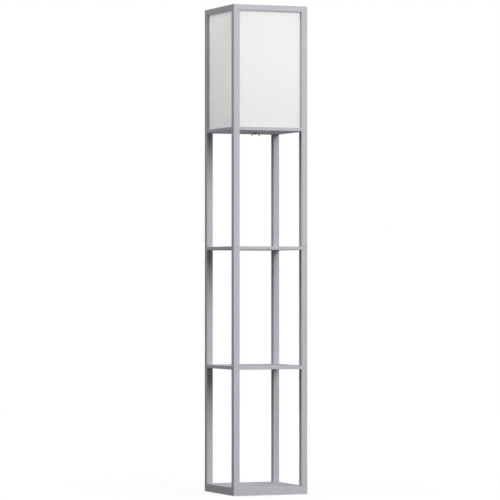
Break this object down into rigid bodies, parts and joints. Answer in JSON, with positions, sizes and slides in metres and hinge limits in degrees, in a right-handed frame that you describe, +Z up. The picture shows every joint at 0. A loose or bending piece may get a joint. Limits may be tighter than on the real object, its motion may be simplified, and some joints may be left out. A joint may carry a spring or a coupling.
{
  "type": "shelf floor lamp",
  "caption": "Square timber floor lamp: a base and open shelves on corner legs under a boxed cloth-panelled shade, with a bulb in its holder.",
  "frame": {"origin": "middle of the footprint, on the floor", "axes": "+Z up, -Y to the front, +X to the right as seen from the front"},
  "size_m": [0.26, 0.26, 1.6],
  "materials": {
    "painted_timber": "grey stain, satin",
    "shade_sheet": "translucent white",
    "shade_cloth": "fine off-white weave",
    "dowel_wood": "bare beech",
    "bright_brass": "bright",
    "aged_brass": "antique, satin",
    "steel": "zinc plated",
    "felt": "dark felt",
    "black_plastic": "moulded",
    "white_plastic": "moulded",
    "opal_glass": "opal"
  },
  "bodies": {
    "frame": {"base_board": "painted_timber", "base_bolts": "steel", "centre_contact": "bright_brass", "cord_bushing": "black_plastic", "floor_washer": "aged_brass", "foot_pads": "felt", "frame_dowels": "dowel_wood", "holder_cup": "black_plastic", "holder_shell": "black_plastic", "lock_nut": "aged_brass", "lower_leg_back_left": "painted_timber", "lower_leg_back_right": "painted_timber", "lower_leg_front_left": "painted_timber", "lower_leg_front_right": "painted_timber", "lower_shelf": "painted_timber", "middle_leg_back_left": "painted_timber", "middle_leg_back_right": "painted_timber", "middle_leg_front_left": "painted_timber", "middle_leg_front_right": "painted_timber", "nipple": "aged_brass", "screw_shell": "bright_brass", "shade_cloth_back": "shade_cloth", "shade_cloth_front": "shade_cloth", "shade_cloth_left": "shade_cloth", "shade_cloth_right": "shade_cloth", "shade_floor": "painted_timber", "shade_panel_back": "shade_sheet", "shade_panel_front": "shade_sheet", "shade_panel_left": "shade_sheet", "shade_panel_right": "shade_sheet", "shade_post_back_left": "painted_timber", "shade_post_back_right": "painted_timber", "shade_post_front_left": "painted_timber", "shade_post_front_right": "painted_timber", "shade_studs": "steel", "shelf_studs": "steel", "top_rail_back": "painted_timber", "top_rail_front": "painted_timber", "top_rail_left": "painted_timber", "top_rail_right": "painted_timber", "upper_leg_back_left": "painted_timber", "upper_leg_back_right": "painted_timber", "upper_leg_front_left": "painted_timber", "upper_leg_front_right": "painted_timber", "upper_shelf": "painted_timber"},
    "clamp_washer": {"wing_washer": "aged_brass"},
    "wing_nut": {"wing_nut": "aged_brass"},
    "bulb": {"bulb_contact": "bright_brass", "bulb_seal": "black_plastic", "bulb_cap": "bright_brass", "bulb_collar": "white_plastic", "bulb_globe": "opal_glass"}
  },
  "joints": [
    {"name": "nut_travel", "type": "slide", "parent": "frame", "child": "clamp_washer", "axis": [0, 0, -1], "range_m": [0, 0.003]},
    {"name": "nut_turn", "type": "hinge", "parent": "clamp_washer", "child": "wing_nut", "pos_m": [0, 0, 1.1865], "axis": [0, 0, -1], "range_deg": [0, 1080]},
    {"name": "bulb_lift", "type": "slide", "parent": "frame", "child": "bulb", "axis": [0, 0, 1], "range_m": [0, 0.03]}
  ],
  "couplings": [
    {"joint": "nut_travel", "follows": "nut_turn", "m_per_rad": 0.00015915}
  ]
}
